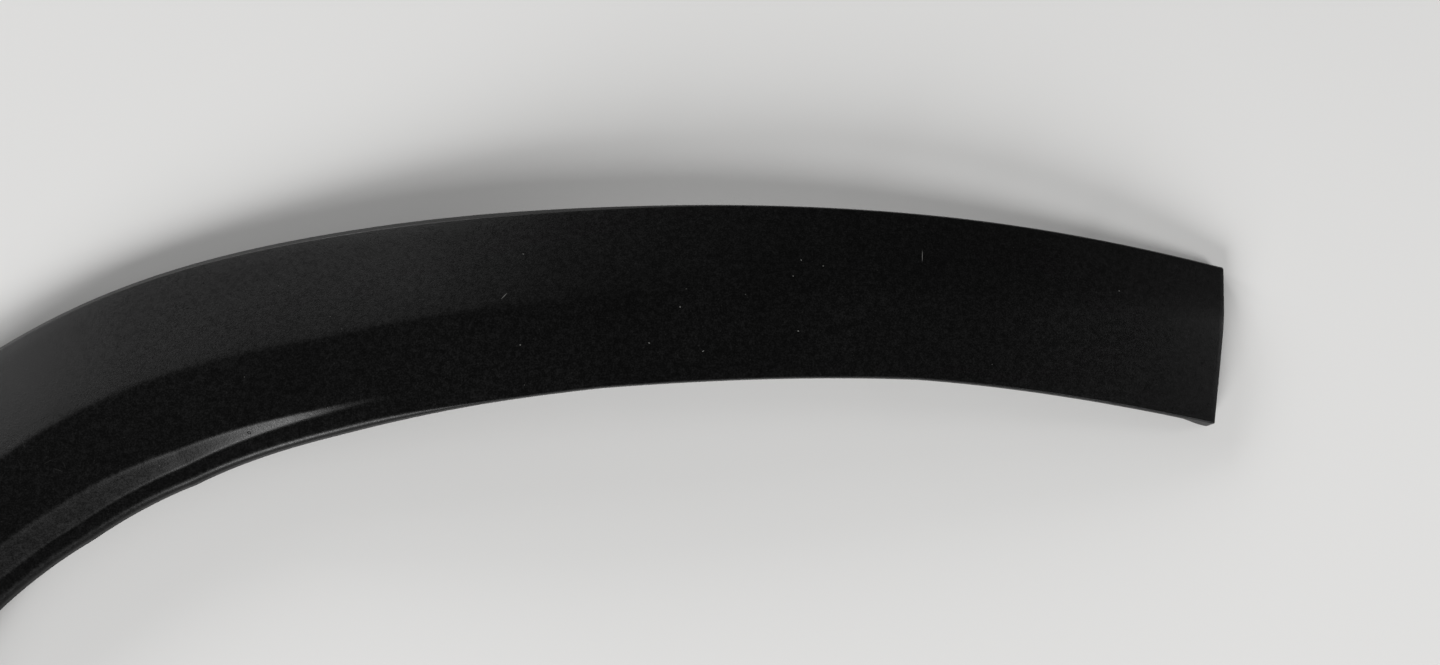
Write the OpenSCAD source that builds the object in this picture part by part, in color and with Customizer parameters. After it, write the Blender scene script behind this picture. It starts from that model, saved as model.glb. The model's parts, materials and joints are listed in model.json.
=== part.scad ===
// Wheel arch trim: a moulded cover strip that follows the edge of a car's wheel opening.
// It lies on its back: the outer face looks up (+Z), the upper run lies along X with its plain
// end to the right (+X), and the leg that runs down beside the tyre is on the left.
// Sections are drawn as [u, h]: u runs from the outer rim in towards the wheel, h rises from the
// plane in which the rim sits on the car's wing. Stations s run along the rim from the right end.

/* [Outline] */
// Length of the outer rim from the right end to the foot of the leg
rim_length = 860; // [800:5:880]
// Slope of the rim at the right end, in degrees
end_slope = 10.4; // [6:0.2:14]
// Rim radius at the right end
end_radius = 2400; // [1500:50:3000]
// Rim radius over the right half of the upper run
front_radius = 1050; // [900:10:1300]
// Rim radius at the top of the arch
top_radius = 2000; // [1500:50:2600]
// Rim radius where the upper run starts to turn down
shoulder_radius = 800; // [650:10:1000]
// Rim radius round the corner above the tyre
corner_radius = 283; // [260:1:310]
// Rim radius down the leg
leg_radius = 1500; // [1000:50:2500]
// Length of rim below the corner, down to the foot of the leg
leg_length = 70; // [60:1:90]
// Length of rim over which the corner runs out into the leg
leg_blend = 50; // [30:1:60]

/* [Band] */
// Width of the band at the right end
end_width = 78; // [70:0.5:86]
// Width of the band at the top of the arch
top_width = 87.2; // [80:0.1:92]
// Width of the band round the corner
corner_width = 103; // [96:0.5:110]
// Width of the band down the leg
leg_width = 96.5; // [92:0.5:102]
// Station over the leg side at which the band begins to narrow
narrow_start = 600; // [570:5:640]
// Length of the leg side that has the leg's width
narrow_end_in = 140; // [110:5:160]
// Wall thickness of the moulding
wall = 2.6; // [2.2:0.1:3]
// Height of the rim wall
rim_height = 6; // [5:0.1:8]
// Width of the slanted flank between the rim wall and the face
flank_width = 2.4; // [1.5:0.1:2.6]
// Radius at the foot and at the top of the flank
rim_radius = 1.2; // [0.8:0.1:1.5]
// Chamfer round both end faces
end_chamfer = 0.8; // [0.4:0.1:1.2]
// Draft on the inside of both end walls
end_draft = 1; // [0.5:0.1:2]

/* [Crease] */
// Distance of the crease from the rim at the right end
crease_end_in = 28; // [24:0.5:32]
// Distance of the crease from the rim on the right half of the upper run
crease_front_in = 37.5; // [34:0.5:41]
// Distance of the crease from the rim round the corner
crease_corner_in = 55; // [50:0.5:60]
// Height of the crease at the right end
crease_end_height = 11.1; // [10:0.1:13]
// Height of the crease round the corner
crease_corner_height = 19; // [16:0.1:21]
// Height of the face at its inner edge, at the right end
edge_end_height = 8; // [7:0.1:9]
// Height of the face at its inner edge round the corner, before the step is taken off
edge_corner_height = 14.5; // [13:0.1:16]
// Half width of the soft turn over the crease at the right end
crease_end_soft = 7; // [4:0.5:8]
// Half width of the turn over the crease round the corner
crease_corner_soft = 1.4; // [1:0.1:3]

/* [Step and inner edge] */
// Station at which the step begins to sink from the face
step_start = 370; // [340:5:420]
// Station at which the step has its full size
step_full = 600; // [560:5:640]
// Depth of the step
step_depth = 8.5; // [6:0.1:9]
// Width of the step's slope where the step is full
step_width = 9.4; // [8:0.1:12]
// Width of the step's slope where the step begins
step_start_width = 2.4; // [2:0.1:4]
// Width of the ledge between a full step and the inner edge
ledge_width = 4.5; // [4:0.1:7]
// Width of the ledge where the step begins
ledge_start_width = 6; // [4:0.1:8]
// Rounding of the inner edge on the leg side
edge_radius = 3.4; // [2.8:0.1:4]
// Rounding of the inner edge on the plain side
edge_soft = 0.6; // [0.4:0.1:1]
// Station at which the inner edge begins to round off
lip_start = 340; // [320:5:360]
// Station at which the inner edge is fully rounded
lip_full = 420; // [400:5:460]
// Depth of the inner edge below its rounding on the leg side
flange_depth = 2.4; // [2:0.1:3]
// Length over which the inner edge runs down into each end wall
end_web = 15; // [10:1:25]

/* [Set on the car] */
// Height of the upper run's middle over its right end, as the wing bulges
bow_height = 24; // [22:0.5:30]
// Station of the bow's highest point
bow_station = 300; // [260:5:340]
// Station from which the leg side lies level
level_station = 530; // [500:5:560]

/* [Clip seats] */
// Distance of the clips and pegs from the rim
clip_in = 23; // [20:0.5:24]
// Station of the first clip, at the right end
first_clip_station = 75; // [65:1:85]
// Distance of the last clip from the foot of the leg
last_clip_in = 62; // [55:1:70]
// Outer length of a seat along the rim
seat_length = 17; // [16:0.5:20]
// Outer width of a seat across the band
seat_width = 17; // [16:0.5:18]
// Thickness of a seat's walls
seat_wall = 1.6; // [1.2:0.1:1.8]
// Thickness of the plate that holds the clip
seat_plate = 1.8; // [1.5:0.1:2]
// Height of the plate's lower face above the rim plane
plate_height = 1; // [0.8:0.1:1.4]
// Gap between the clip's neck and its keyhole
neck_gap = 0.25; // [0.15:0.05:0.4]
// Pinch at the keyhole's throat, which holds the clip in
throat_pinch = 0.4; // [0.2:0.1:0.8]
// Thickness of the ribs from the rim to the seats
rib_wall = 1.4; // [1.2:0.1:2]

/* [Locating pegs] */
// Diameter of a peg
peg_d = 5; // [4:0.1:6]
// Length of a peg below its boss
peg_length = 8; // [6:0.5:9]
// Diameter of the boss that carries a peg
boss_d = 10; // [8:0.5:12]
// Height of the boss's lower face above the rim plane
boss_height = 1; // [0.5:0.1:2]
// Length of the peg's tapered tip
peg_tip = 0.8; // [0.4:0.1:1]
// Station of the peg on the plain side
peg_front_station = 132; // [120:1:140]
// Station of the peg on the leg side
peg_rear_station = 478; // [470:1:486]

/* [Clips] */
// Diameter of a clip's head, inside the seat
head_d = 12; // [10:0.1:12.5]
// Thickness of a clip's head
head_t = 1.4; // [1:0.1:1.8]
// Diameter of a clip's neck
neck_d = 6; // [5:0.1:7]
// Diameter of the clip's sealing skirt
skirt_d = 15; // [13:0.5:17]
// Thickness of the skirt at its rim
skirt_t = 0.8; // [0.6:0.1:1]
// Gap between the seat plate and the skirt
skirt_gap = 0.1; // [0.05:0.05:0.2]
// Diameter of the stud's core
core_d = 4.4; // [4:0.1:5]
// Diameter of the stud's fins
fin_d = 8.4; // [7.5:0.1:9]
// Thickness of a fin at its edge
fin_t = 0.5; // [0.4:0.1:0.7]
// Number of fins on a stud
fin_count = 4; // [3:1:4]
// Reach of the stud below the rim plane
stud_reach = 11.5; // [10:0.5:13]
// Length of the stud's pointed tip
stud_tip = 2.2; // [1.5:0.1:3]
// Radius of the flat on the tip
tip_r = 0.6; // [0.4:0.1:0.8]

/* [Hidden] */
CLIP_COUNT = 7;
$fn = 48;

trim_colour = "#1d1e1f";
clip_colour = "#d9d5c6";

// Stations between which the rim's radius and the band's width change evenly
front_station = 120;
top_station = 300;
shoulder_station = 430;
corner_station = 520;
corner_end_station = rim_length - leg_length;
leg_station = corner_end_station + leg_blend;

// The clips follow evenly from the first to the last
clip_pitch = (rim_length - last_clip_in - first_clip_station) / (CLIP_COUNT - 1);
clip_stations = [for (i = [0 : CLIP_COUNT - 1]) first_clip_station + i * clip_pitch];

// Overlap of a cutting tool past the face that it cuts, and of a peg into its boss
overlap = 1;
// Two stations or lengths closer than this are the same
same = 0.001;

function ease(t) = (1 - cos(180 * min(max(t, 0), 1))) / 2;
function between(a, b, t) = a + (b - a) * t;
function corner_share(s) = ease(s / corner_station);
function step_share(s) = ease((s - step_start) / (step_full - step_start));
function lip_share(s) = ease((s - lip_start) / (lip_full - lip_start));

// Height of the rim plane over the surface that the trim lies on: the ends of the clips under
// the leg and the right end's wall touch down. The bow rises steeply at first and then levels off.
BOW_POWER = 2.5;
function bow(s) = s < bow_station
    ? bow_height * (1 - pow(1 - s / bow_station, BOW_POWER))
    : between(bow_height, stud_reach, ease((s - bow_station) / (level_station - bow_station)));

// The rim's path, laid out in short steps whose slope is taken at the middle of each
path_step = 2;
radius_keys = [
    [0, 1 / end_radius], [front_station, 1 / front_radius], [top_station, 1 / top_radius],
    [shoulder_station, 1 / shoulder_radius], [corner_station, 1 / corner_radius],
    [corner_end_station, 1 / corner_radius], [leg_station, 1 / leg_radius]
];
function turn(s) = lookup(s, radius_keys) * path_step * 180 / PI;
path = [
    for (s = 0, a = -end_slope + turn(0) / 2, x = 0, y = 0;
         s <= rim_length + path_step;
         x = x - path_step * cos(a), y = y - path_step * sin(a), s = s + path_step, a = a + turn(s))
    [s, x, y, a]
];
path_x = [for (p = path) [p[0], p[1]]];
path_y = [for (p = path) [p[0], p[2]]];
path_slope = [for (p = path) [p[0] + path_step / 2, p[3]]];
function slope(s) = lookup(s, path_slope);
function spot(s, u) = [
    lookup(s, path_x) + u * sin(slope(s)),
    lookup(s, path_y) - u * cos(slope(s))
];

// The band's width and the face's height at a station. Halfway to the top the band has grown by
// only a fifth, and at the shoulder it has two thirds of its growth from the top to the corner.
EARLY_GROWTH = 0.2;
SHOULDER_GROWTH = 0.65;
width_keys = [
    [0, end_width], [top_station / 2, between(end_width, top_width, EARLY_GROWTH)],
    [top_station, top_width], [shoulder_station, between(top_width, corner_width, SHOULDER_GROWTH)],
    [corner_station, corner_width], [narrow_start, corner_width],
    [rim_length - narrow_end_in, leg_width], [rim_length, leg_width]
];
crease_keys = [
    [0, crease_end_in], [front_station, crease_front_in], [shoulder_station, crease_corner_in]
];
function band(s) = lookup(s, width_keys);
function crease_in(s) = lookup(s, crease_keys);
function crease_height(s) = between(crease_end_height, crease_corner_height, corner_share(s));
function edge_height(s) = between(edge_end_height, edge_corner_height, corner_share(s));
function crease_soft(s) = between(crease_end_soft, crease_corner_soft, ease(s / shoulder_station));
function rise(s) = (crease_height(s) - rim_height) / crease_in(s);
function fall(s) = (crease_height(s) - edge_height(s)) / (band(s) - crease_in(s));
function face(s, u) = let (d = u - crease_in(s), k = crease_soft(s))
    crease_height(s) + (rise(s) - fall(s)) / 2 * d - (rise(s) + fall(s)) / 2 * sqrt(d * d + k * k);

// The inner edge: step, ledge, rounding and flange
function rounding(s) = between(edge_soft, edge_radius, lip_share(s));
function drop(s) = step_depth * step_share(s);
function slope_width(s) = between(step_start_width, step_width, step_share(s));
function ledge_in(s) = band(s) - rounding(s) - between(ledge_start_width, ledge_width, step_share(s));
function step_in(s) = ledge_in(s) - slope_width(s);
function ledge(s, u) = face(s, u) - drop(s);
function edge_centre(s) = ledge(s, band(s) - rounding(s)) - rounding(s) * norm([1, fall(s)]);
plain_flange = wall - edge_soft + 0.4;
function flange(s) = between(plain_flange, flange_depth, step_share(s));
function from_end(s) = min(s, rim_length - s);
function edge_foot(s) = (edge_centre(s) - flange(s)) * ease((from_end(s) - wall) / end_web);

// The outer skin's section, from the rim's foot over the face to the inner edge's foot. The flank
// over the rim wall faces up and out at 45 degrees.
RIM_STEPS = 2;
FLANK_FACING = 135;
EDGE_STEPS = 3;
SLOPE_TURN = 0.35;
FLAT_SHARES = [0.35, 0.7];
CREASE_REACH = 2.2;
CREASE_TURNS = [-CREASE_REACH, -0.9, 0, 0.9, CREASE_REACH];
function slope_drop(t) = let (a = 1 / (2 * SLOPE_TURN - SLOPE_TURN * SLOPE_TURN))
    t < SLOPE_TURN ? a * t * t : a * (2 * SLOPE_TURN * t - SLOPE_TURN * SLOPE_TURN);
function rim_turn(shift, c, a0, a1) =
    [for (i = [0 : RIM_STEPS]) let (a = between(a0, a1, i / RIM_STEPS))
        [shift + rim_radius * (1 + cos(a)), c + rim_radius * sin(a)]];
function rim_arc(s) = let (c = face(s, 0) + rise(s) * (flank_width + rim_radius) - rim_radius * norm([1, rise(s)]))
    concat(
        rim_turn(0, c - flank_width, 180, FLANK_FACING),
        rim_turn(flank_width, c, FLANK_FACING, 90 + atan(rise(s)))
    );
function edge_arc(s) = let (r = rounding(s), tilt = atan(fall(s)))
    [for (i = [0 : EDGE_STEPS]) let (a = between(90 - tilt, 0, i / EDGE_STEPS))
        [band(s) - r + r * cos(a), edge_centre(s) + r * sin(a)]];
function on_face(s, u) = [u, face(s, u)];
function turn_reach(s) = CREASE_REACH * crease_soft(s);
function skin(s) = let (arc = rim_arc(s), c = crease_in(s), reach = turn_reach(s), first = arc[len(arc) - 1].x)
    concat(
        [[0, 0]],
        arc,
        [for (t = FLAT_SHARES) on_face(s, between(first, c - reach, t))],
        [for (d = CREASE_TURNS) on_face(s, c + d * crease_soft(s))],
        [for (t = FLAT_SHARES) on_face(s, between(c + reach, step_in(s), t))],
        [for (t = [0, SLOPE_TURN / 2, SLOPE_TURN, 1]) let (u = step_in(s) + t * slope_width(s))
            [u, face(s, u) - drop(s) * slope_drop(t)]],
        edge_arc(s),
        [[band(s), edge_foot(s)]]
    );

// The inside of the same wall, from the inner edge's foot back to the rim's foot. The flange's inside
// is never lower than a small rise, and a chamfer fills the corner behind the rim.
SMALL_RISE = 0.3;
corner_fill = 1;
function under(s, u) = face(s, u) - wall;
function lining(s) = let (c = crease_in(s), reach = turn_reach(s), w = band(s) - wall,
        back = (sqrt(2) - 1) * wall * drop(s) / slope_width(s))
    [
        [w, edge_foot(s)],
        [w, max(ledge(s, w) - wall, edge_foot(s) + SMALL_RISE)],
        [ledge_in(s) - back, under(s, ledge_in(s)) - drop(s)],
        [step_in(s) - back, under(s, step_in(s))],
        [c + reach, under(s, c + reach)],
        [c, under(s, c)],
        [c - reach, under(s, c - reach)],
        [wall + corner_fill, under(s, wall + corner_fill)],
        [wall, under(s, wall) - corner_fill],
        [wall, 0]
    ];
function shrunk(section, by, w) = [for (p = section) [min(max(p.x, by), w - by), max(p.y - by, 0)]];

// The rings of the loft: solid through each end wall, open between them
station_pitch = 12;
station_count = round((rim_length - 2 * (wall + end_draft)) / station_pitch);
stations = concat(
    [0, end_chamfer, wall],
    [for (i = [0 : station_count])
        between(wall + end_draft, rim_length - wall - end_draft, i / station_count)],
    [rim_length - wall, rim_length - end_chamfer, rim_length]
);
function is_solid(s) = from_end(s) <= wall + same;
lining_size = len(lining(rim_length / 2));
function closed_foot(s) = [
    for (i = [0 : lining_size - 1]) [between(band(s) - wall, wall, i / (lining_size - 1)), 0]
];
function section(s) = let (cut = from_end(s) < same ? end_chamfer : 0)
    concat(shrunk(skin(s), cut, band(s)), is_solid(s) ? closed_foot(s) : lining(s));
function placed(s, p) = let (at = spot(s, p.x)) [at.x, at.y, bow(s) + p.y];
ring_size = len(section(rim_length / 2));
loose_points = [for (s = stations) for (p = section(s)) placed(s, p)];
reach = [
    [min([for (p = loose_points) p.x]), max([for (p = loose_points) p.x])],
    [min([for (p = loose_points) p.y]), max([for (p = loose_points) p.y])]
];
centre = [(reach[0][0] + reach[0][1]) / 2, (reach[1][0] + reach[1][1]) / 2, 0];
rings = [for (p = loose_points) p - centre];
ring_count = len(stations);
function cap_point(s) = placed(s, [band(s) / 2, rim_height / 2]) - centre;

module shell() {
    first_cap = len(rings);
    walls = [
        for (i = [0 : ring_count - 2]) for (j = [0 : ring_size - 1])
            let (a = i * ring_size + j, b = i * ring_size + (j + 1) % ring_size)
            each [[a, b, a + ring_size], [b, b + ring_size, a + ring_size]]
    ];
    caps = [
        for (j = [0 : ring_size - 1])
            let (k = (j + 1) % ring_size, base = (ring_count - 1) * ring_size)
            each [[first_cap, k, j], [first_cap + 1, base + j, base + k]]
    ];
    polyhedron(
        points = concat(rings, [cap_point(0), cap_point(rim_length)]),
        faces = concat(walls, caps)
    );
}

// Puts a thing at a station and a distance in: its x runs on along the rim and its y in to the wheel
module at_station(s, u) {
    at = spot(s, u) - [centre.x, centre.y];
    translate([at.x, at.y, bow(s)]) rotate(slope(s) + 180) children();
}

// Height of the middle of the face's wall over the rim plane of the station it belongs to
function mid_wall(s, along, u) = bow(s + along) - bow(s) + face(s + along, u) - wall / 2;

// One clip seat: a small house under the face with an open front and a keyhole in its floor
module seat(s) {
    x0 = -seat_length / 2;
    x1 = seat_length / 2;
    y0 = -seat_width / 2;
    y1 = seat_width / 2;
    for (y = [y0, y1 - seat_wall])
        translate([0, y + seat_wall, 0]) rotate([90, 0, 0]) linear_extrude(seat_wall)
            polygon([
                [x0, plate_height], [x1, plate_height],
                [x1, mid_wall(s, x1, clip_in + y)], [x0, mid_wall(s, x0, clip_in + y)]
            ]);
    translate([x1 - seat_wall, 0, 0]) rotate([90, 0, 90]) linear_extrude(seat_wall)
        polygon([
            [y0, plate_height], [y1, plate_height],
            [y1, mid_wall(s, x1, clip_in + y1)], [y0, mid_wall(s, x1, clip_in + y0)]
        ]);
    translate([0, 0, plate_height]) linear_extrude(seat_plate) difference() {
        translate([x0, y0]) square([seat_length, seat_width]);
        circle(d = neck_d + 2 * neck_gap);
        translate([x0 - overlap, -(neck_d - throat_pinch) / 2])
            square([overlap - x0, neck_d - throat_pinch]);
    }
}

// A thin rib from the rim wall to a seat, under the face
module rib(s) {
    y0 = wall / 2 - clip_in;
    y1 = -seat_width / 2 + seat_wall / 2;
    translate([-rib_wall / 2, 0, 0]) rotate([90, 0, 90]) linear_extrude(rib_wall)
        polygon([
            [y0, plate_height], [y1, plate_height],
            [y1, mid_wall(s, 0, clip_in + y1)], [y0, mid_wall(s, 0, clip_in + y0) - wall / 2]
        ]);
}

// A locating peg on its boss; the boss is cut to the slope of the face above it
module peg(s) {
    tilt = atan((face(s, clip_in + 1) - face(s, clip_in - 1)) / 2);
    top = mid_wall(s, 0, clip_in);
    intersection() {
        translate([0, 0, boss_height]) cylinder(d = boss_d, h = top + boss_d);
        translate([0, 0, top]) rotate([tilt, 0, 0])
            translate([-boss_d, -boss_d, -top - boss_d]) cube([2 * boss_d, 2 * boss_d, top + boss_d]);
    }
    translate([0, 0, boss_height - peg_length]) cylinder(d = peg_d, h = peg_length + overlap);
    translate([0, 0, boss_height - peg_length - peg_tip])
        cylinder(d1 = peg_d - 2 * peg_tip, d2 = peg_d, h = peg_tip);
}

module arch_moulding() {
    color(trim_colour) union() {
        shell();
        for (s = clip_stations) at_station(s, clip_in) {
            seat(s);
            rib(s);
        }
        for (s = [peg_front_station, peg_rear_station]) at_station(s, clip_in) peg(s);
    }
}

// One retaining clip, turned in one piece: head, neck, sealing skirt and finned stud
module clip(i) {
    plate_top = plate_height + seat_plate;
    skirt_top = plate_height - skirt_gap;
    skirt_foot = skirt_top - 2 * skirt_t;
    tip_top = -stud_reach + stud_tip;
    fin_pitch = (skirt_foot - tip_top) / (fin_count + 0.5);
    fins = [
        for (k = [0 : fin_count - 1]) let (z = skirt_foot - (k + 1) * fin_pitch)
            each [
                [core_d / 2, z + fin_t + (fin_d - core_d) / 4],
                [fin_d / 2, z + fin_t],
                [fin_d / 2, z],
                [core_d / 2, z - fin_t / 2]
            ]
    ];
    profile = concat(
        [
            [0, plate_top + head_t], [head_d / 2 - head_t / 2, plate_top + head_t],
            [head_d / 2, plate_top + head_t / 2], [head_d / 2, plate_top],
            [neck_d / 2, plate_top], [neck_d / 2, skirt_top], [skirt_d / 2, skirt_top],
            [skirt_d / 2, skirt_top - skirt_t], [core_d / 2, skirt_foot]
        ],
        fins,
        [[core_d / 2, tip_top], [tip_r, -stud_reach], [0, -stud_reach]]
    );
    color(clip_colour) at_station(clip_stations[i], clip_in) rotate_extrude() polygon(profile);
}

arch_moulding();
for (i = [0 : CLIP_COUNT - 1])
    clip(i);
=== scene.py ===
import json
import math

import bpy
import numpy as np
from mathutils import Matrix, Vector

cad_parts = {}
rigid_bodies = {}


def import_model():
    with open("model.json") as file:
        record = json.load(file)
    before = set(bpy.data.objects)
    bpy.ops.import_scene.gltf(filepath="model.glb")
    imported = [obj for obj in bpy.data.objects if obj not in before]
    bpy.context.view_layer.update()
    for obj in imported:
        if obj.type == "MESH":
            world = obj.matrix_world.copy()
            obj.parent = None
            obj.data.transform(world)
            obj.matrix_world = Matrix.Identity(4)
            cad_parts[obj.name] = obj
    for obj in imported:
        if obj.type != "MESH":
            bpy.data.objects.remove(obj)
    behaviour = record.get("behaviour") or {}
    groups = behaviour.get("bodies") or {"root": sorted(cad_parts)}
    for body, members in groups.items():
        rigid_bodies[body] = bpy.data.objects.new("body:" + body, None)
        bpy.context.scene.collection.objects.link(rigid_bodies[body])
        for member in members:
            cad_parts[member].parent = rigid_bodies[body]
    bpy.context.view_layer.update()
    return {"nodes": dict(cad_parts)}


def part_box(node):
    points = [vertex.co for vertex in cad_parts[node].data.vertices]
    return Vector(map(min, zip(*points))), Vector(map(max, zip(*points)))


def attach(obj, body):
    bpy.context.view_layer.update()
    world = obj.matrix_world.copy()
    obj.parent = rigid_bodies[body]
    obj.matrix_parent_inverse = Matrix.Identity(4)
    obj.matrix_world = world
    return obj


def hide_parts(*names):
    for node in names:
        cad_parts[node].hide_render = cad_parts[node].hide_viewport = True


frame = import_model()

# The arch moulding: the trim itself, one injection moulding of black polypropylene with a fine grain.
# Rim wall, creased face, sunk step, rolled inner edge and both end walls are one shell of even wall.
# Its sizes are in millimetres: stations s run along the rim from the right end, u runs in from the
# rim to the wheel, and h rises from the plane in which the rim lies on the wing.
MM = 0.001
RIM_LENGTH = 860
END_SLOPE = math.radians(10.4)
RIM_CURVE = [(0, 1 / 2400), (120, 1 / 1050), (300, 1 / 2000), (430, 1 / 800), (520, 1 / 283), (790, 1 / 283),
             (840, 1 / 1500)]
PATH_STEP = 2
END_WIDTH, TOP_WIDTH, CORNER_WIDTH, LEG_WIDTH = 78, 87.2, 103, 96.5
BAND_WIDTH = [(0, END_WIDTH), (150, 0.8 * END_WIDTH + 0.2 * TOP_WIDTH), (300, TOP_WIDTH),
              (430, 0.35 * TOP_WIDTH + 0.65 * CORNER_WIDTH), (520, CORNER_WIDTH), (600, CORNER_WIDTH),
              (720, LEG_WIDTH), (860, LEG_WIDTH)]
WALL = 2.6
RIM_HEIGHT, FLANK_WIDTH, RIM_RADIUS = 6, (0.4, 2.4), 1.2
FLANK_START, FLANK_FULL = 230, 350
END_ROUND, END_DRAFT, END_WEB = 0.8, 1, 15
CREASE_IN = [(0, 28), (120, 37.5), (430, 55)]
CREASE_HEIGHT = (11.1, 19)
EDGE_HEIGHT = (8, 14.5)
CREASE_SOFT = (7, 1.4)
SHOULDER_STATION, CORNER_STATION = 430, 520
STEP_START, STEP_FULL = 370, 600
STEP_DEPTH = 8.5
STEP_WIDTH, LEDGE_WIDTH = (2.4, 9.4), (6, 4.5)
LIP_START, LIP_FULL = 340, 420
STEP_FILLET = 0.9
EDGE_RADIUS = (0.6, 3.4)
FLANGE_DEPTH = (WALL - EDGE_RADIUS[0] + 0.4, 2.4)
BOW_HEIGHT, BOW_STATION, LEVEL_STATION, BOW_POWER = 24, 300, 530, 2.5
STUD_REACH = 11.5
CLIP_IN = 23
CLIP_COUNT, FIRST_CLIP, LAST_CLIP_GAP = 7, 75, 62
CLIP_STATIONS = [FIRST_CLIP + (RIM_LENGTH - LAST_CLIP_GAP - FIRST_CLIP) * i / (CLIP_COUNT - 1)
                 for i in range(CLIP_COUNT)]


def ease(t):
    return (1 - math.cos(math.pi * min(max(t, 0), 1))) / 2


def between(pair, share):
    return pair[0] + (pair[1] - pair[0]) * share


def at(keys, s):
    return float(np.interp(s, *zip(*keys)))


def bow(s):
    if s < BOW_STATION:
        return BOW_HEIGHT * (1 - (1 - s / BOW_STATION) ** BOW_POWER)
    return between((BOW_HEIGHT, STUD_REACH), ease((s - BOW_STATION) / (LEVEL_STATION - BOW_STATION)))


rim_path = []
point, slope = np.zeros(2), -END_SLOPE + at(RIM_CURVE, 0) * PATH_STEP / 2
for s in range(0, RIM_LENGTH + 2 * PATH_STEP, PATH_STEP):
    rim_path.append((s, *point, slope))
    point = point - PATH_STEP * np.array([math.cos(slope), math.sin(slope)])
    slope += at(RIM_CURVE, s + PATH_STEP) * PATH_STEP
path_s, path_x, path_y, path_slope = np.array(rim_path).T


def rim_slope(s):
    return float(np.interp(s, path_s + PATH_STEP / 2, path_slope))


def spot(s, u):
    turn = rim_slope(s)
    return np.array([np.interp(s, path_s, path_x) + u * math.sin(turn),
                     np.interp(s, path_s, path_y) - u * math.cos(turn)])


# The moulding is laid so that its first seat meets the first clip
clip_low, clip_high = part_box("clip_1")
laid = np.array(clip_low + clip_high)[:2] / 2 / MM - spot(CLIP_STATIONS[0], CLIP_IN)


def band_form(s):
    """The sizes of the band's section at a station."""
    corner, stepped = ease(s / CORNER_STATION), ease((s - STEP_START) / (STEP_FULL - STEP_START))
    form = {"band": at(BAND_WIDTH, s), "crease_in": at(CREASE_IN, s),
            "crease": between(CREASE_HEIGHT, corner), "edge": between(EDGE_HEIGHT, corner),
            "soft": between(CREASE_SOFT, ease(s / SHOULDER_STATION)),
            "flank": between(FLANK_WIDTH, ease((s - FLANK_START) / (FLANK_FULL - FLANK_START))),
            "round": between(EDGE_RADIUS, ease((s - LIP_START) / (LIP_FULL - LIP_START))),
            "drop": STEP_DEPTH * stepped, "slope_width": between(STEP_WIDTH, stepped),
            "flange": between(FLANGE_DEPTH, stepped)}
    form["rise"] = (form["crease"] - RIM_HEIGHT) / form["crease_in"]
    form["fall"] = (form["crease"] - form["edge"]) / (form["band"] - form["crease_in"])
    form["ledge_in"] = form["band"] - form["round"] - between(LEDGE_WIDTH, stepped)
    form["step_in"] = form["ledge_in"] - form["slope_width"]
    return form


def face_height(form, u):
    """Height of the creased face, a hyperbola over the crease, before the step is sunk into it."""
    d, rise, fall = u - form["crease_in"], form["rise"], form["fall"]
    return form["crease"] + (rise - fall) / 2 * d - (rise + fall) / 2 * math.hypot(d, form["soft"])


def sunk(form, t):
    """How far the step has sunk at the share t of its width: it turns down softly, then runs straight."""
    turn = 0.35
    steep = 1 / (2 * turn - turn * turn)
    return form["drop"] * steep * (t * t if t < turn else 2 * turn * t - turn * turn) if t > 0 else 0


def step_height(form, u, under=0.0):
    """Height of the face at u with the step in it, or of the wall's inside when under is the wall."""
    back = (math.sqrt(2) - 1) * under * form["drop"] / form["slope_width"]
    t = (u + back - form["step_in"]) / form["slope_width"]
    return face_height(form, u) - under - (form["drop"] if t >= 1 else sunk(form, t))


def arc(centre, radius, start, end, steps):
    angles = [math.radians(start + (end - start) * i / steps) for i in range(steps + 1)]
    return [(centre[0] + radius * math.cos(a), centre[1] + radius * math.sin(a)) for a in angles]


def corner_curve(first, corner, last, steps):
    """A small fillet: a curve from first to last that the corner pulls out."""
    shares = [i / steps for i in range(steps + 1)]
    return [tuple((1 - t) ** 2 * a + 2 * t * (1 - t) * b + t * t * c for a, b, c in zip(first, corner, last))
            for t in shares]


# Where points lie across the crease, in units of its softness, and across the step, in shares of its width
CREASE_PLACES = (-2.2, -1.4, -0.8, -0.35, 0, 0.35, 0.8, 1.4, 2.2)
STEP_PLACES = (0, 0.07, 0.14, 0.21, 0.28, 0.35, 0.6)
UNDER_LEDGE, UNDER_STEP = 0.5, 2
INSIDE_FILLET, INNER_CURL, LEAST_FLANGE = 1, 0.8, 0.3


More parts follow.
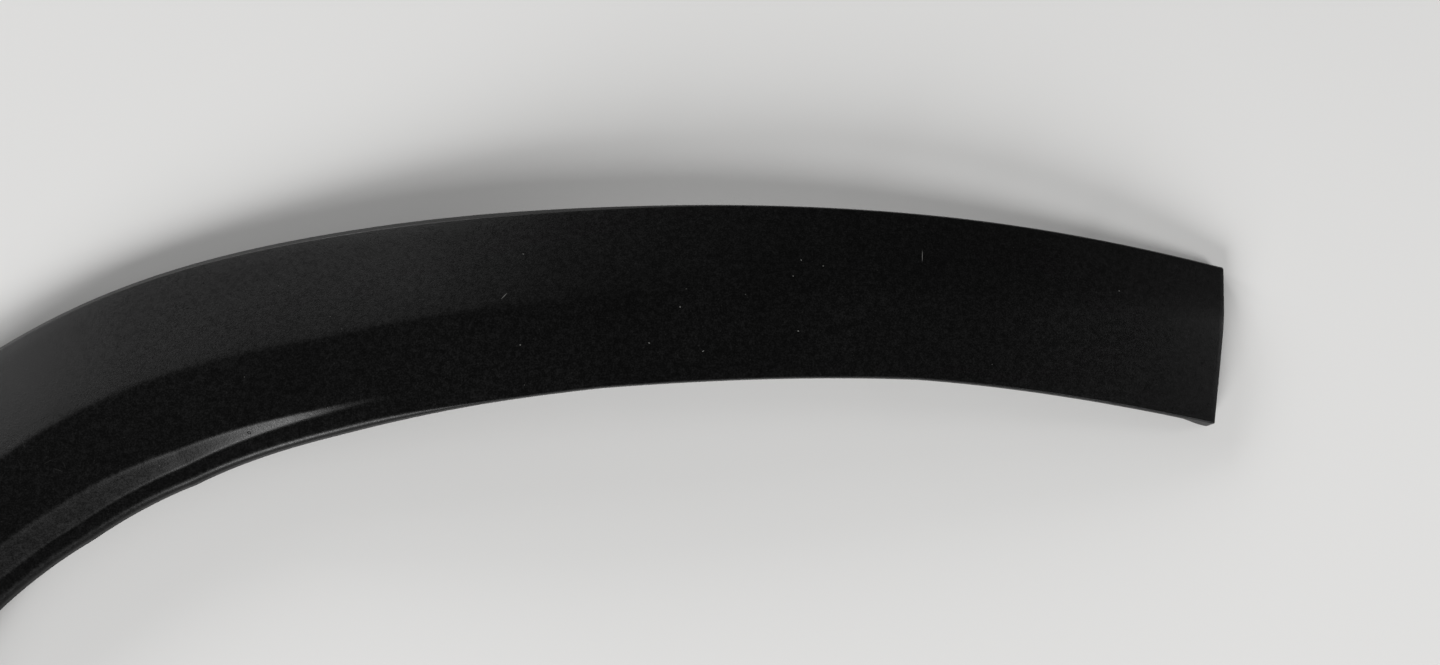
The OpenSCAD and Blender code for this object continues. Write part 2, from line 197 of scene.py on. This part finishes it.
def band_section(s):
    """The closed outline of the wall at a station: over the outside, then back along the inside."""
    form = band_form(s)
    crease_in, soft, rise, fall = (form[name] for name in ("crease_in", "soft", "rise", "fall"))
    width, rounding, step_in, ledge_in = (form[name] for name in ("band", "round", "step_in", "ledge_in"))
    over = [(0.0, 0.0)]
    flank_in = form["flank"] + RIM_RADIUS
    flank_top = face_height(form, 0) + rise * flank_in - RIM_RADIUS * math.hypot(1, rise)
    over += arc((RIM_RADIUS, flank_top - form["flank"]), RIM_RADIUS, 180, 135, 4)
    over += arc((flank_in, flank_top), RIM_RADIUS, 135, 90 + math.degrees(math.atan(rise)), 5)
    first, reach = over[-1][0], CREASE_PLACES[-1] * soft
    over += [(u, face_height(form, u)) for u in np.linspace(first, crease_in - reach, 7)[1:-1]]
    over += [(crease_in + d * soft, face_height(form, crease_in + d * soft))
             for d in CREASE_PLACES]
    over += [(u, face_height(form, u)) for u in np.linspace(crease_in + reach, step_in, 6)[1:-1]]
    over += [(step_in + t * form["slope_width"], step_height(form, step_in + t * form["slope_width"]))
             for t in STEP_PLACES]
    tight = min(STEP_FILLET, 0.25 * form["slope_width"])
    fillet = [(u, step_height(form, u)) for u in (ledge_in - tight, ledge_in, ledge_in + tight)]
    over += corner_curve(*fillet, 4)
    edge_centre = step_height(form, width - rounding) - rounding * math.hypot(1, fall)
    over += arc((width - rounding, edge_centre), rounding, 90 - math.degrees(math.atan(fall)), 0, 7)
    from_end = min(s, RIM_LENGTH - s)
    foot = (edge_centre - form["flange"]) * ease((from_end - WALL) / END_WEB)
    over.append((width, foot))

    inside = width - WALL
    edge_top = max(step_height(form, inside, WALL), foot + LEAST_FLANGE)
    curl = min(INNER_CURL, (edge_top - foot) / 2)
    back = [(inside, foot)]
    back += corner_curve((inside, edge_top - curl), (inside, edge_top), (inside - curl, edge_top), 2)
    back += [(u, step_height(form, u, WALL))
             for u in np.linspace(ledge_in - UNDER_LEDGE, step_in - UNDER_STEP, 7)]
    back += [(crease_in + d * soft, face_height(form, crease_in + d * soft) - WALL)
             for d in CREASE_PLACES[::-2]]
    fillet_in, rim_top = WALL + INSIDE_FILLET, face_height(form, WALL) - WALL
    back += [(u, face_height(form, u) - WALL) for u in np.linspace(crease_in - reach, fillet_in, 4)[1:-1]]
    back += corner_curve((fillet_in, face_height(form, fillet_in) - WALL), (WALL, rim_top),
                         (WALL, rim_top - INSIDE_FILLET), 2)
    back.append((WALL, 0.0))
    return over, back


def end_section(s, shrink):
    """The outline inside an end wall: solid down to the foot, and drawn in by the rounded end edge."""
    over, back = band_section(s)
    width = over[-1][0]
    over = [(min(max(u, shrink), width - shrink), max(h - shrink, 0)) for u, h in over]
    return over, [(u, 0.0) for u in np.linspace(width - WALL, WALL, len(back))]


END_STEPS, RING_COUNT = 4, 222
MERGED_GAP = 0.001
end_turns = [math.radians(90 - 90 * i / END_STEPS) for i in range(END_STEPS + 1)]
end_rings = [(END_ROUND * (1 - math.sin(a)), END_ROUND * (1 - math.cos(a))) for a in end_turns] + [(WALL, 0)]
rings = [(s, end_section(s, shrink)) for s, shrink in end_rings]
for s in np.linspace(WALL + END_DRAFT, RIM_LENGTH - WALL - END_DRAFT, RING_COUNT):
    rings.append((s, band_section(s)))
rings += [(RIM_LENGTH - s, end_section(RIM_LENGTH - s, shrink)) for s, shrink in reversed(end_rings)]

outline = []
for s, (over, back) in rings:
    for u, h in over + back + over[:1]:
        x, y = spot(s, u) + laid
        outline.append((x * MM, y * MM, (bow(s) + h) * MM))
ring_size = len(outline) // len(rings)

bpy.ops.object.select_all(action="DESELECT")
bpy.ops.mesh.primitive_grid_add(x_subdivisions=ring_size - 1, y_subdivisions=len(rings) - 1, size=1)
moulding = bpy.context.object
moulding.name = "moulded_trim"
moulding.data.vertices.foreach_set("co", np.array(outline, np.float32).ravel())
bpy.ops.object.mode_set(mode="EDIT")
bpy.ops.mesh.select_all(action="SELECT")
bpy.ops.mesh.remove_doubles(threshold=MERGED_GAP * MM)
bpy.ops.mesh.fill_holes(sides=0)
bpy.ops.mesh.select_all(action="SELECT")
bpy.ops.mesh.normals_make_consistent(inside=False)
bpy.ops.object.mode_set(mode="OBJECT")

# Clip seats: seven small houses moulded on the back, each with an open front, a keyhole in the plate
# that holds a clip's neck, and a thin rib that ties it to the rim wall.
SEAT_LENGTH, SEAT_WIDTH, SEAT_WALL, SEAT_PLATE, PLATE_HEIGHT = 17, 17, 1.6, 1.8, 1
KEYHOLE, THROAT = 6.5, 5.6
RIB_WALL = 1.4
TALL, OVERCUT = 30, 1
ROD_SIDES = 48


def block(name, low, high):
    """A box between two corners, in millimetres, as an object at the origin."""
    low, high = Vector(low) * MM, Vector(high) * MM
    bpy.ops.object.select_all(action="DESELECT")
    bpy.ops.mesh.primitive_cube_add(size=1, location=(low + high) / 2, scale=high - low)
    bpy.ops.object.transform_apply(location=True, rotation=True, scale=True)
    bpy.context.object.name = name
    return bpy.context.object


def rod(name, diameter, low, high):
    """An upright round bar on the origin's axis, in millimetres."""
    bpy.ops.object.select_all(action="DESELECT")
    bpy.ops.mesh.primitive_cylinder_add(vertices=ROD_SIDES, radius=diameter / 2 * MM, depth=(high - low) * MM,
                                        location=(0, 0, (low + high) / 2 * MM))
    bpy.ops.object.transform_apply(location=True, rotation=True, scale=True)
    bpy.context.object.name = name
    return bpy.context.object


def cut_away(piece, tools):
    """Cuts each tool out of the piece and throws the tool away."""
    for tool in tools:
        cut = piece.modifiers.new("cut", "BOOLEAN")
        cut.operation, cut.solver, cut.object = "DIFFERENCE", "EXACT", tool
        bpy.context.view_layer.objects.active = piece
        bpy.ops.object.modifier_apply(modifier=cut.name)
        bpy.data.objects.remove(tool)


def cut_to_face(piece, s, y0, y1, sink=0.0):
    """Cuts a piece that stands at station s to the middle of the wall over it, between two places across."""
    form = band_form(s)
    low = face_height(form, CLIP_IN + y0) - WALL / 2 - sink
    high = face_height(form, CLIP_IN + y1) - WALL / 2
    ahead = [bow(s + d) + face_height(band_form(s + d), CLIP_IN) for d in (-1, 1)]
    across, along = (high - low) / (y1 - y0), (ahead[1] - ahead[0]) / 2
    bpy.ops.object.select_all(action="DESELECT")
    piece.select_set(True)
    bpy.context.view_layer.objects.active = piece
    bpy.ops.object.mode_set(mode="EDIT")
    bpy.ops.mesh.select_all(action="SELECT")
    bpy.ops.mesh.bisect(plane_co=(0, y0 * MM, low * MM), plane_no=(-along, -across, 1), use_fill=True,
                        clear_outer=True)
    bpy.ops.object.mode_set(mode="OBJECT")


def stand(piece, s):
    """Stands a piece made at the origin at station s, its x along the rim and its y in to the wheel."""
    x, y = spot(s, CLIP_IN) + laid
    piece.data.transform(Matrix.Translation((x * MM, y * MM, bow(s) * MM))
                         @ Matrix.Rotation(rim_slope(s) + math.pi, 4, "Z"))


def copied(piece, name):
    twin = bpy.data.objects.new(name, piece.data.copy())
    bpy.context.scene.collection.objects.link(twin)
    return twin


half_l, half_w = SEAT_LENGTH / 2, SEAT_WIDTH / 2
plate_top = PLATE_HEIGHT + SEAT_PLATE
seat = block("seat", (-half_l, -half_w, PLATE_HEIGHT), (half_l, half_w, TALL))
cut_away(seat, [
    block("room", (-half_l - OVERCUT, SEAT_WALL - half_w, plate_top),
          (half_l - SEAT_WALL, half_w - SEAT_WALL, TALL + OVERCUT)),
    block("throat", (-half_l - OVERCUT, -THROAT / 2, 0), (0, THROAT / 2, plate_top + OVERCUT)),
    rod("keyhole", KEYHOLE, 0, plate_top + OVERCUT),
])
rib_y = (WALL / 2 - CLIP_IN, SEAT_WALL / 2 - half_w)
rib = block("rib", (-RIB_WALL / 2, rib_y[0], PLATE_HEIGHT), (RIB_WALL / 2, rib_y[1], TALL))

back_work = bpy.data.collections.new("back_work")
bpy.context.scene.collection.children.link(back_work)
for number, s in enumerate(CLIP_STATIONS, 1):
    house, tie = copied(seat, f"seat_{number}"), copied(rib, f"rib_{number}")
    cut_to_face(house, s, -half_w, half_w)
    cut_to_face(tie, s, *rib_y, sink=WALL / 2)
    for piece in (house, tie):
        stand(piece, s)
        back_work.objects.link(piece)

# Locating pegs: two round pegs on bosses, moulded on the back, that find their holes in the wing
# before the clips are pressed home.
PEG_D, PEG_LENGTH, PEG_TIP, PEG_ROOT = 5, 8, 0.8, 1
BOSS_D, BOSS_HEIGHT = 10, 1
FACING_DOWN = -0.9
PEG_STATIONS = (132, 478)

boss = rod("boss", BOSS_D, BOSS_HEIGHT, TALL)
peg = rod("peg", PEG_D, BOSS_HEIGHT - PEG_LENGTH, BOSS_HEIGHT + PEG_ROOT)
tip_share = 1 - 2 * PEG_TIP / PEG_D
bpy.ops.object.mode_set(mode="EDIT")
bpy.ops.mesh.select_mode(type="FACE")
bpy.ops.mesh.select_all(action="DESELECT")
bpy.ops.object.mode_set(mode="OBJECT")
for face in peg.data.polygons:
    face.select = face.normal.z < FACING_DOWN
bpy.ops.object.mode_set(mode="EDIT")
bpy.ops.mesh.extrude_region_move(TRANSFORM_OT_translate={"value": (0, 0, -PEG_TIP * MM)})
bpy.ops.transform.resize(value=(tip_share, tip_share, 1))
bpy.ops.object.mode_set(mode="OBJECT")
for number, s in enumerate(PEG_STATIONS, 1):
    carrier, pin = copied(boss, f"boss_{number}"), copied(peg, f"peg_{number}")
    cut_to_face(carrier, s, -1, 1)
    for piece in (carrier, pin):
        stand(piece, s)
        back_work.objects.link(piece)
for master in (seat, rib, boss, peg):
    bpy.data.objects.remove(master)

grown = moulding.modifiers.new("grown together", "BOOLEAN")
grown.operation, grown.solver = "UNION", "EXACT"
grown.operand_type, grown.collection = "COLLECTION", back_work
bpy.context.view_layer.objects.active = moulding
bpy.ops.object.modifier_apply(modifier=grown.name)
for piece in list(back_work.objects):
    bpy.data.objects.remove(piece)
bpy.data.collections.remove(back_work)

# The union leaves a small open corner under the leg's end wall, which is filled
SMOOTH_ANGLE = math.radians(32)
bpy.ops.object.select_all(action="DESELECT")
moulding.select_set(True)
bpy.ops.object.mode_set(mode="EDIT")
bpy.ops.mesh.select_all(action="SELECT")
bpy.ops.mesh.fill_holes(sides=4)
bpy.ops.object.mode_set(mode="OBJECT")
bpy.ops.object.shade_smooth_by_angle(angle=SMOOTH_ANGLE)

# Black polypropylene as it leaves the mould: a fine spark-eroded grain and a low sheen that varies a
# little. The face has specks of dust, short scratches, faint scuffs and one small pit in the step.
PLASTIC_DARK, PLASTIC_LIGHT = (0.0005, 0.0005, 0.0005, 1), (0.0044, 0.0044, 0.0045, 1)
DUST_COLOUR, DUST_COVER, DUST_ROUGHNESS = (0.2, 0.2, 0.19, 1), 0.7, 0.3
GRAIN_SIZE, GRAIN_DEPTH, GRAIN_MIDDLE, GRAIN_SHEEN = 0.75, 0.04, 0.75, 0.3
CLOUD_SIZE = 45
COARSE_SCALE, COARSE_WEIGHT = 0.3, 0.5
FINE_DETAIL, COARSE_DETAIL, CLOUD_DETAIL = 1.5, 1, 3
FLECK_GRAIN, FLECK_CLOUDS, FLECK_SHARE = (0.6, 1.1), (0.3, 0.7), (0.7, 1.0)
SHEEN_CLOUDS, SHEEN_ROUGHNESS = (0.25, 0.75), (0.36, 0.385)
SHEEN_LEVEL = 0.14


def new_group(name, inputs, outputs):
    """An empty shader group with named number or vector inputs and number outputs."""
    group = bpy.data.node_groups.new(name, "ShaderNodeTree")
    for label, kind, value in inputs:
        item = group.interface.new_socket(name=label, in_out="INPUT", socket_type=kind)
        if value is not None:
            item.default_value = value
    for label in outputs:
        group.interface.new_socket(name=label, in_out="OUTPUT", socket_type="NodeSocketFloat")
    return group, group.nodes.new("NodeGroupInput"), group.nodes.new("NodeGroupOutput")


def math_node(tree, operation, first, second=0.0, clamp=False):
    node = tree.nodes.new("ShaderNodeMath")
    node.operation, node.use_clamp = operation, clamp
    for socket, value in zip(node.inputs, (first, second)):
        if isinstance(value, (int, float)):
            socket.default_value = value
        else:
            tree.links.new(value, socket)
    return node.outputs["Value"]


def noise_node(tree, place, scale, detail=2.0, roughness=0.5):
    node = tree.nodes.new("ShaderNodeTexNoise")
    node.inputs["Detail"].default_value, node.inputs["Roughness"].default_value = detail, roughness
    tree.links.new(place, node.inputs["Vector"])
    if isinstance(scale, (int, float)):
        node.inputs["Scale"].default_value = scale
    else:
        tree.links.new(scale, node.inputs["Scale"])
    return node.outputs["Fac"]


def ranged(tree, value, low, high, to_low=0.0, to_high=1.0):
    node = tree.nodes.new("ShaderNodeMapRange")
    node.interpolation_type = "SMOOTHSTEP"
    tree.links.new(value, node.inputs["Value"])
    for label, number in (("From Min", low), ("From Max", high), ("To Min", to_low), ("To Max", to_high)):
        node.inputs[label].default_value = number
    return node.outputs["Result"]


def mixed(tree, share, first, second):
    node = tree.nodes.new("ShaderNodeMix")
    node.data_type = "RGBA"
    tree.links.new(share, node.inputs["Factor"])
    for label, value in (("A", first), ("B", second)):
        socket = [s for s in node.inputs if s.name == label and s.type == "RGBA"][0]
        if isinstance(value, tuple):
            socket.default_value = value
        else:
            tree.links.new(value, socket)
    return [s for s in node.outputs if s.type == "RGBA"][0]


# The grain of a mould wall, for any plastic piece: its height, and a slow cloudiness over a few cm
grain_group, grain_in, grain_out = new_group(
    "mould_grain",
    [("Place", "NodeSocketVector", None), ("Grain mm", "NodeSocketFloat", 0.5),
     ("Clouds mm", "NodeSocketFloat", 40)],
    ["Height", "Clouds"])
place_socket = grain_in.outputs["Place"]
grain_scale = math_node(grain_group, "DIVIDE", 1 / MM, grain_in.outputs["Grain mm"])
cloud_scale = math_node(grain_group, "DIVIDE", 1 / MM, grain_in.outputs["Clouds mm"])
fine = noise_node(grain_group, place_socket, grain_scale, FINE_DETAIL)
coarse_scale = math_node(grain_group, "MULTIPLY", grain_scale, COARSE_SCALE)
coarse = noise_node(grain_group, place_socket, coarse_scale, COARSE_DETAIL)
height = math_node(grain_group, "ADD", fine, math_node(grain_group, "MULTIPLY", coarse, COARSE_WEIGHT))
clouds = noise_node(grain_group, place_socket, cloud_scale, CLOUD_DETAIL)
grain_group.links.new(height, grain_out.inputs["Height"])
grain_group.links.new(clouds, grain_out.inputs["Clouds"])

# One speck of dust or short scratch: an ellipse at a place, turned about the upright axis, that fades
# out over the outer half of its reach
MARK_FADE = (0.5, 1.0)
mark_group, mark_in, mark_out = new_group(
    "mark",
    [("Place", "NodeSocketVector", None), ("Centre", "NodeSocketVector", None),
     ("Turn", "NodeSocketFloat", 0), ("Length mm", "NodeSocketFloat", 1),
     ("Width mm", "NodeSocketFloat", 0.5)],
    ["Mask"])
offset = mark_group.nodes.new("ShaderNodeVectorMath")
offset.operation = "SUBTRACT"
mark_group.links.new(mark_in.outputs["Place"], offset.inputs[0])
mark_group.links.new(mark_in.outputs["Centre"], offset.inputs[1])
turned = mark_group.nodes.new("ShaderNodeVectorRotate")
turned.rotation_type = "Z_AXIS"
mark_group.links.new(offset.outputs["Vector"], turned.inputs["Vector"])
mark_group.links.new(mark_in.outputs["Turn"], turned.inputs["Angle"])
axes = mark_group.nodes.new("ShaderNodeSeparateXYZ")
mark_group.links.new(turned.outputs["Vector"], axes.inputs["Vector"])
squares = []
for axis, label in (("X", "Length mm"), ("Y", "Width mm")):
    half = math_node(mark_group, "MULTIPLY", mark_in.outputs[label], MM / 2)
    share = math_node(mark_group, "DIVIDE", axes.outputs[axis], half)
    squares.append(math_node(mark_group, "MULTIPLY", share, share))
reach_out = math_node(mark_group, "SQRT", math_node(mark_group, "ADD", *squares))
mark_group.links.new(ranged(mark_group, reach_out, *MARK_FADE, 1.0, 0.0), mark_out.inputs["Mask"])


def use_group(tree, group, place, **values):
    node = tree.nodes.new("ShaderNodeGroup")
    node.node_tree = group
    tree.links.new(place, node.inputs["Place"])
    for label, value in values.items():
        node.inputs[label.replace("_", " ")].default_value = value
    return node


def new_material(name):
    """A material with its node tree, its shader and the place on the piece."""
    material = bpy.data.materials.new(name)
    material.use_nodes = True
    tree = material.node_tree
    place = tree.nodes.new("ShaderNodeTexCoord").outputs["Object"]
    return material, tree, tree.nodes["Principled BSDF"], place


def raise_grain(tree, shader, relief, strength, depth):
    """Feeds the relief to the shader as a bump of a depth in millimetres."""
    bump = tree.nodes.new("ShaderNodeBump")
    bump.inputs["Strength"].default_value, bump.inputs["Distance"].default_value = strength, depth * MM
    tree.links.new(relief, bump.inputs["Height"])
    tree.links.new(bump.outputs["Normal"], shader.inputs["Normal"])


plastic, tree, shader, place = new_material("black_grained_plastic")
grain = use_group(tree, grain_group, place, Grain_mm=GRAIN_SIZE, Clouds_mm=CLOUD_SIZE)
fleck = math_node(tree, "MULTIPLY", ranged(tree, grain.outputs["Height"], *FLECK_GRAIN),
                  ranged(tree, grain.outputs["Clouds"], *FLECK_CLOUDS, *FLECK_SHARE))
colour = mixed(tree, fleck, PLASTIC_DARK, PLASTIC_LIGHT)

# Dust, scratches and scuffs: place along X and Y in millimetres, length, width, turn in degrees. The
# places of the marks, of two scuffs and of the pit were traced back from the photograph. No mark is
# bounded in height, so each one shows faintly on the back too.
MARKS = [
    (17.7, 127.6, 0.9, 0.5, 20), (10.9, 106.5, 4.5, 0.35, -50), (19.1, 84.1, 0.8, 0.5, 0),
    (76.0, 85.2, 1.0, 0.4, 30), (89.6, 101.5, 0.8, 0.5, 80), (99.9, 81.8, 1.2, 0.4, -30),
    (144.4, 124.9, 1.3, 0.4, 70), (154.4, 122.1, 0.8, 0.5, 0), (140.5, 116.8, 0.7, 0.5, 40),
    (142.4, 91.3, 0.9, 0.5, 10), (200.6, 128.3, 7.0, 0.3, 95), (293.8, 114.5, 0.8, 0.5, 0),
]
SCUFFS = [
    (-201.8, 43.1, 6.0, 0.3, 35), (-198.6, 40.9, 5.0, 0.25, 60), (-204.3, 40.2, 4.5, 0.25, 10),
    (-182.7, 30.0, 6.0, 0.3, 20), (-180.2, 31.9, 4.0, 0.25, 65), (-187.5, 33.5, 5.0, 0.25, -30),
]
SCUFF_STRENGTH = 0.09
dust = None
sides = tree.nodes.new("ShaderNodeSeparateXYZ")
tree.links.new(place, sides.inputs["Vector"])
flat = tree.nodes.new("ShaderNodeCombineXYZ")
tree.links.new(sides.outputs["X"], flat.inputs["X"])
tree.links.new(sides.outputs["Y"], flat.inputs["Y"])
for spots, strength in ((MARKS, 1), (SCUFFS, SCUFF_STRENGTH)):
    for x, y, length, width, turn in spots:
        mark = use_group(tree, mark_group, flat.outputs["Vector"], Centre=(x * MM, y * MM, 0),
                         Turn=math.radians(turn), Length_mm=length, Width_mm=width).outputs["Mask"]
        mark = math_node(tree, "MULTIPLY", mark, strength)
        dust = mark if dust is None else math_node(tree, "MAXIMUM", dust, mark)

# The finer dust all over: cells in a metre, a speck's radius in its cell, and its strength
SPECKS = [(90, 0.026, 0.4), (300, 0.11, 0.04)]
for per_metre, radius, strength in SPECKS:
    specks = tree.nodes.new("ShaderNodeTexVoronoi")
    specks.inputs["Scale"].default_value = per_metre
    tree.links.new(place, specks.inputs["Vector"])
    speck = ranged(tree, specks.outputs["Distance"], radius / 2, radius, strength, 0.0)
    dust = math_node(tree, "MAXIMUM", dust, speck)
dust_share = math_node(tree, "MULTIPLY", dust, DUST_COVER)
tree.links.new(mixed(tree, dust_share, colour, DUST_COLOUR), shader.inputs["Base Color"])

sheen = ranged(tree, grain.outputs["Clouds"], *SHEEN_CLOUDS, *SHEEN_ROUGHNESS)
sheen = math_node(tree, "ADD", sheen, math_node(tree, "MULTIPLY", dust, DUST_ROUGHNESS))
raised = math_node(tree, "SUBTRACT", grain.outputs["Height"], GRAIN_MIDDLE)
glint = math_node(tree, "MULTIPLY", raised, GRAIN_SHEEN)
tree.links.new(math_node(tree, "ADD", sheen, glint, clamp=True), shader.inputs["Roughness"])
shader.inputs["Specular IOR Level"].default_value = SHEEN_LEVEL

# One small pit in the step's bright slope, eight times as deep as the grain
PIT_X, PIT_Y, PIT_LENGTH, PIT_WIDTH, PIT_DEPTH = -101.8, 46.8, 1.6, 1.2, 8
pit = use_group(tree, mark_group, flat.outputs["Vector"], Centre=(PIT_X * MM, PIT_Y * MM, 0),
                Length_mm=PIT_LENGTH, Width_mm=PIT_WIDTH).outputs["Mask"]
sunk_pit = math_node(tree, "MULTIPLY", pit, PIT_DEPTH)
relief = math_node(tree, "SUBTRACT", grain.outputs["Height"], sunk_pit)
raise_grain(tree, shader, relief, 1.0, GRAIN_DEPTH)
moulding.data.materials.clear()
moulding.data.materials.append(plastic)
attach(moulding, "root")
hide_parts("arch_moulding")

# The clips: push-in fasteners of natural nylon, each moulded in one piece, slid into their seats.
# They keep their solids, with a smooth milky nylon that has a faint cloudiness.
NYLON_DARK, NYLON_LIGHT = (0.66, 0.63, 0.55, 1), (0.78, 0.76, 0.69, 1)
NYLON_GRAIN, NYLON_CLOUDS = 1.2, 6
NYLON_STRENGTH, NYLON_DEPTH = 0.5, 0.02
NYLON_SPREAD, NYLON_ROUGHNESS = (0.2, 0.8), (0.32, 0.42)
nylon, tree, shader, place = new_material("natural_nylon")
grain = use_group(tree, grain_group, place, Grain_mm=NYLON_GRAIN, Clouds_mm=NYLON_CLOUDS)
tree.links.new(mixed(tree, grain.outputs["Clouds"], NYLON_DARK, NYLON_LIGHT), shader.inputs["Base Color"])
gloss = ranged(tree, grain.outputs["Clouds"], *NYLON_SPREAD, *NYLON_ROUGHNESS)
tree.links.new(gloss, shader.inputs["Roughness"])
raise_grain(tree, shader, grain.outputs["Height"], NYLON_STRENGTH, NYLON_DEPTH)
for number in range(1, CLIP_COUNT + 1):
    clip = frame["nodes"][f"clip_{number}"]
    clip.data.materials.clear()
    clip.data.materials.append(nylon)

# The table top that the trim lies on: plain, pale and matt, and wide enough to fill every view.
FLOOR_COLOUR, FLOOR_ROUGHNESS = (0.63, 0.627, 0.62, 1), 0.7
FLOOR_SIZE, FLOOR_DROP = 8, 0.0002
bpy.ops.object.select_all(action="DESELECT")
bpy.ops.mesh.primitive_plane_add(size=FLOOR_SIZE, location=(0, 0, -FLOOR_DROP))
floor = bpy.context.object
floor.name = "floor"
bpy.ops.object.transform_apply(location=True, rotation=True, scale=True)
paper = bpy.data.materials.new("pale_floor")
paper.use_nodes = True
shader = paper.node_tree.nodes["Principled BSDF"]
shader.inputs["Base Color"].default_value = FLOOR_COLOUR
shader.inputs["Roughness"].default_value = FLOOR_ROUGHNESS
floor.data.materials.append(paper)

# The light: two low soft lamps from the upper left, a stronger one from the lower left, one from the
# lower right, a small one from the right, and a dim even surround. They are low, so the black face
# stays dark from above. For each: azimuth and elevation, distance and size in metres, power in watts.
LAMPS = [
    ("key", 120, 16, 8.0, 2.8, 268.0),
    ("fill", 152, 16, 8.0, 2.8, 168.0),
    ("front", 243, 18, 6.0, 2.4, 490.0),
    ("right", 312, 32, 6.0, 2.0, 230.0),
    ("side", 10, 25, 6.0, 1.6, 46.0),
]
LIT_POINT = Vector((0.05, 0.08, 0.015))
SURROUND = 0.16
for name, azimuth, elevation, distance, size, power in LAMPS:
    lamp = bpy.data.lights.new(name, "AREA")
    lamp.shape, lamp.size, lamp.energy = "DISK", size, power
    holder = bpy.data.objects.new(name, lamp)
    bpy.context.scene.collection.objects.link(holder)
    a, e = math.radians(azimuth), math.radians(elevation)
    towards = Vector((math.cos(a) * math.cos(e), math.sin(a) * math.cos(e), math.sin(e)))
    holder.location = LIT_POINT + towards * distance
    holder.rotation_euler = towards.to_track_quat("Z", "Y").to_euler()

world = bpy.data.worlds.new("surround")
bpy.context.scene.world = world
world.use_nodes = True
surround = world.node_tree.nodes["Background"]
surround.inputs["Strength"].default_value = SURROUND
surround.inputs["Color"].default_value = (1, 1, 1, 1)

# The camera: held in the hand above the trim, looking down at it and a little across
LENS, SENSOR_WIDTH, NEAR, FAR = 26, 36, 0.01, 50
CAMERA_PLACE, CAMERA_DIP = (0.1074, -0.0218, 0.4857), 76
camera_data = bpy.data.cameras.new("camera")
camera = bpy.data.objects.new("camera", camera_data)
bpy.context.scene.collection.objects.link(camera)
camera_data.lens, camera_data.sensor_width = LENS, SENSOR_WIDTH
camera_data.clip_start, camera_data.clip_end = NEAR, FAR
camera.location = CAMERA_PLACE
camera.rotation_euler = (math.radians(90 - CAMERA_DIP), 0, 0)
bpy.context.scene.camera = camera
bpy.context.scene.view_settings.view_transform = "Standard"
